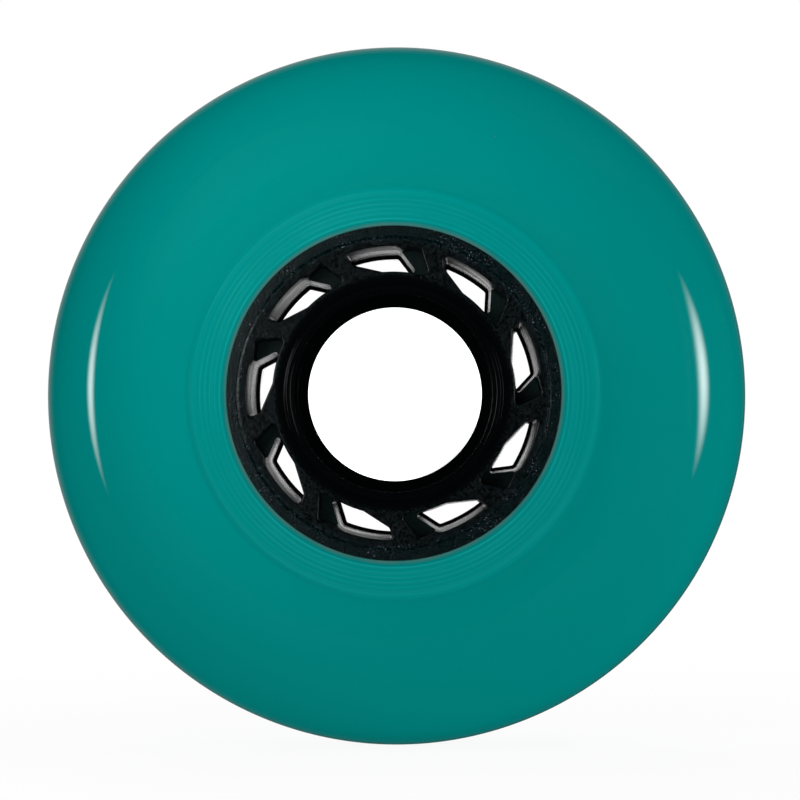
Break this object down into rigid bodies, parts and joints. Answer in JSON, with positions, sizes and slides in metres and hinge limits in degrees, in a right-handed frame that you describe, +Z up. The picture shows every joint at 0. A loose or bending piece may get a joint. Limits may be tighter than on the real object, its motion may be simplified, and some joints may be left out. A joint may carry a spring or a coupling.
{
  "type": "inline skate wheel",
  "caption": "Inline skate wheel: a round-profile polyurethane tyre cast on a moulded nylon core with swept windows and a bearing seat on each side.",
  "frame": {"origin": "centre of the wheel, on its axis and midway between its two sides", "axes": "+Y along the wheel's axis, out of the back; the front faces -Y; +Z up, with the wheel upright as it rolls"},
  "size_m": [0.08, 0.024, 0.08],
  "materials": {
    "tyre": "glossy cast polyurethane, teal, slightly translucent",
    "core": "fine-grained black moulded nylon, satin"
  },
  "bodies": {
    "root": {"core": "core", "tyre": "tyre"}
  },
  "joints": []
}
